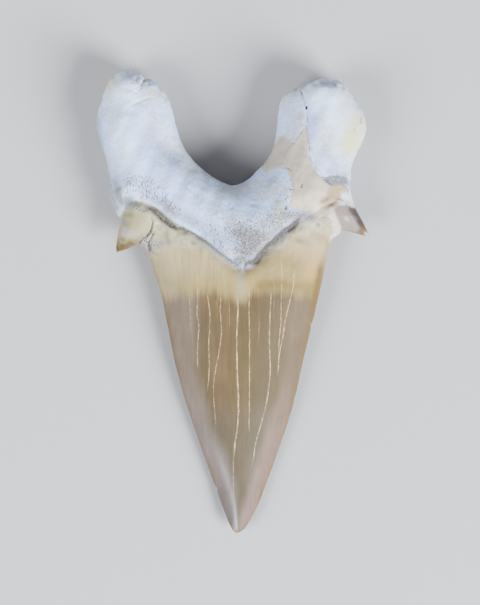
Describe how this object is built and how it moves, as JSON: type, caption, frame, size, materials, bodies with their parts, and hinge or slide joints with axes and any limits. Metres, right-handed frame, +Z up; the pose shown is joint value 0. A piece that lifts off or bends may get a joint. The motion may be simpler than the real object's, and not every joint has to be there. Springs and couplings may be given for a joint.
{
  "type": "fossil shark tooth",
  "caption": "Large fossil shark tooth: a smooth pointed blade with a small cusp on each side, under a thick root with two lobes. It lies on its flatter face.",
  "frame": {"origin": "under the middle of the tooth, on the surface that it lies on", "axes": "+Z up, out of the rounded inner (lingual) face; +Y from the crown's tip towards the two root lobes; +X to the right as the inner face is looked at with the root at the top"},
  "size_m": [0.05, 0.085, 0.0174],
  "materials": {
    "fossil": "chalky matt root, satin enamel"
  },
  "bodies": {
    "root": {"tooth": "fossil"}
  },
  "joints": []
}
